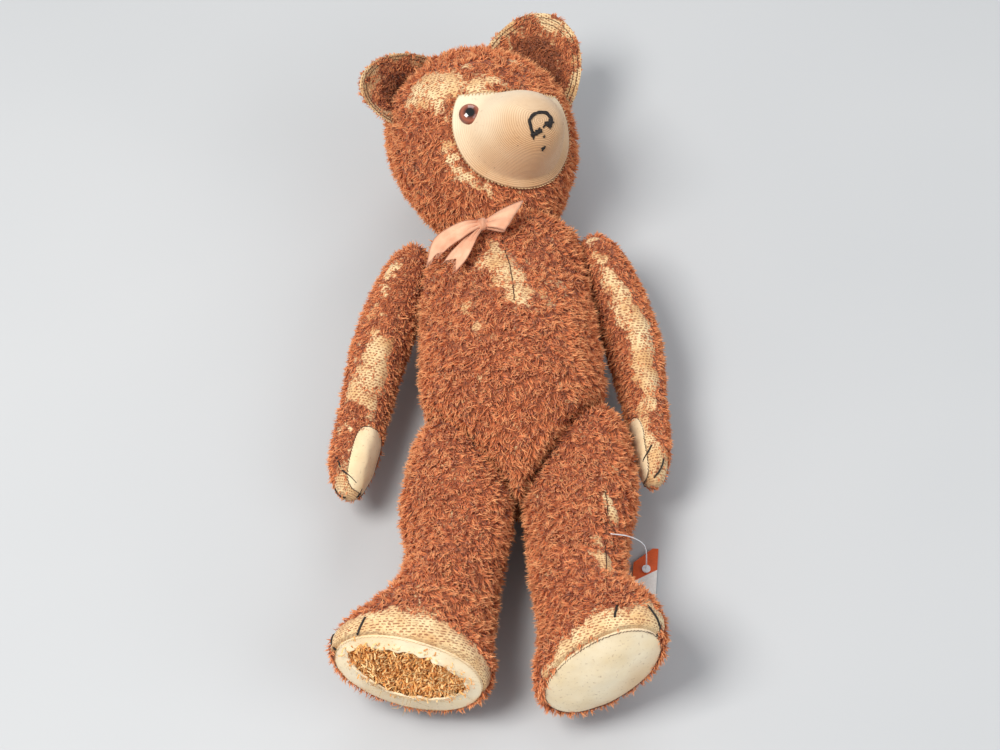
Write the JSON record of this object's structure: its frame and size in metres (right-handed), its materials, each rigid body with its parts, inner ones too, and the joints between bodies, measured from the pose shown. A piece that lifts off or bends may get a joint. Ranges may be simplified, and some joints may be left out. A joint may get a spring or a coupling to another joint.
{
  "type": "threadbare jointed teddy bear",
  "caption": "Worn mohair teddy bear lying on its back, with swivelling head and limbs, a face mask, felt pads, a ribbon and a split sole showing its wood-wool filling.",
  "frame": {"origin": "middle of the flat that the torso's back rests on", "axes": "+X the bear's left, +Y from the seat to the head, +Z the bear's front"},
  "size_m": [0.2387, 0.553, 0.155],
  "materials": {
    "mohair": "matted pile, worn to the backing in patches",
    "knit": "short-pile ribbed inset, soiled",
    "felt": "ivory wool felt, soiled",
    "wood_wool": "fine golden shavings",
    "hardboard": "pressed board",
    "steel": "dull",
    "eye_glass": "brown glass with a black pupil, painted behind",
    "thread": "black stranded cotton",
    "satin": "faded salmon satin",
    "card": "plain coated card, orange at one end",
    "nylon": "clear nylon"
  },
  "bodies": {
    "torso": {"torso_cover": "mohair", "torso_stuffing": "wood_wool", "neck_ribbon": "satin", "neck_body_disc": "hardboard", "neck_body_washer": "steel", "left_shoulder_body_disc": "hardboard", "left_shoulder_body_washer": "steel", "right_shoulder_body_disc": "hardboard", "right_shoulder_body_washer": "steel", "left_hip_body_disc": "hardboard", "left_hip_body_washer": "steel", "right_hip_body_disc": "hardboard", "right_hip_body_washer": "steel"},
    "head": {"head_cover": "mohair", "face_mask": "knit", "head_stuffing": "wood_wool", "left_eye": "eye_glass", "right_eye": "eye_glass", "left_ear": "mohair", "right_ear": "mohair", "nose_thread": "thread", "neck_limb_disc": "hardboard", "neck_limb_washer": "steel", "neck_cotter_pin": "steel"},
    "left_arm": {"left_arm_cover": "mohair", "left_paw_pad": "felt", "left_arm_stuffing": "wood_wool", "left_shoulder_limb_disc": "hardboard", "left_shoulder_limb_washer": "steel", "left_shoulder_cotter_pin": "steel"},
    "right_arm": {"right_arm_cover": "mohair", "right_paw_pad": "felt", "right_arm_stuffing": "wood_wool", "right_shoulder_limb_disc": "hardboard", "right_shoulder_limb_washer": "steel", "right_shoulder_cotter_pin": "steel"},
    "left_leg": {"left_leg_cover": "mohair", "left_sole_pad": "felt", "left_leg_stuffing": "wood_wool", "tag_card": "card", "tag_tie": "nylon", "left_hip_limb_disc": "hardboard", "left_hip_limb_washer": "steel", "left_hip_cotter_pin": "steel"},
    "right_leg": {"right_leg_cover": "mohair", "right_sole_pad": "felt", "right_leg_stuffing": "wood_wool", "right_hip_limb_disc": "hardboard", "right_hip_limb_washer": "steel", "right_hip_cotter_pin": "steel"}
  },
  "joints": [
    {"name": "neck_swivel", "type": "hinge", "parent": "torso", "child": "head", "pos_m": [0.002, 0.113, 0.06], "axis": [-0.1556, 0.9823, 0.1045], "continuous": true},
    {"name": "left_shoulder", "type": "hinge", "parent": "torso", "child": "left_arm", "pos_m": [0.057, 0.076, 0.052], "axis": [-0.9962, -0.0872, 0], "range_deg": [-120, 120]},
    {"name": "right_shoulder", "type": "hinge", "parent": "torso", "child": "right_arm", "pos_m": [-0.057, 0.076, 0.052], "axis": [-0.9703, 0.2419, 0], "range_deg": [-120, 120]},
    {"name": "left_hip", "type": "hinge", "parent": "torso", "child": "left_leg", "pos_m": [0.032, -0.066, 0.046], "axis": [-0.766, 0.6428, 0], "range_deg": [-36, 60]},
    {"name": "right_hip", "type": "hinge", "parent": "torso", "child": "right_leg", "pos_m": [-0.032, -0.066, 0.046], "axis": [-0.766, -0.6428, 0], "range_deg": [-45, 100]}
  ]
}
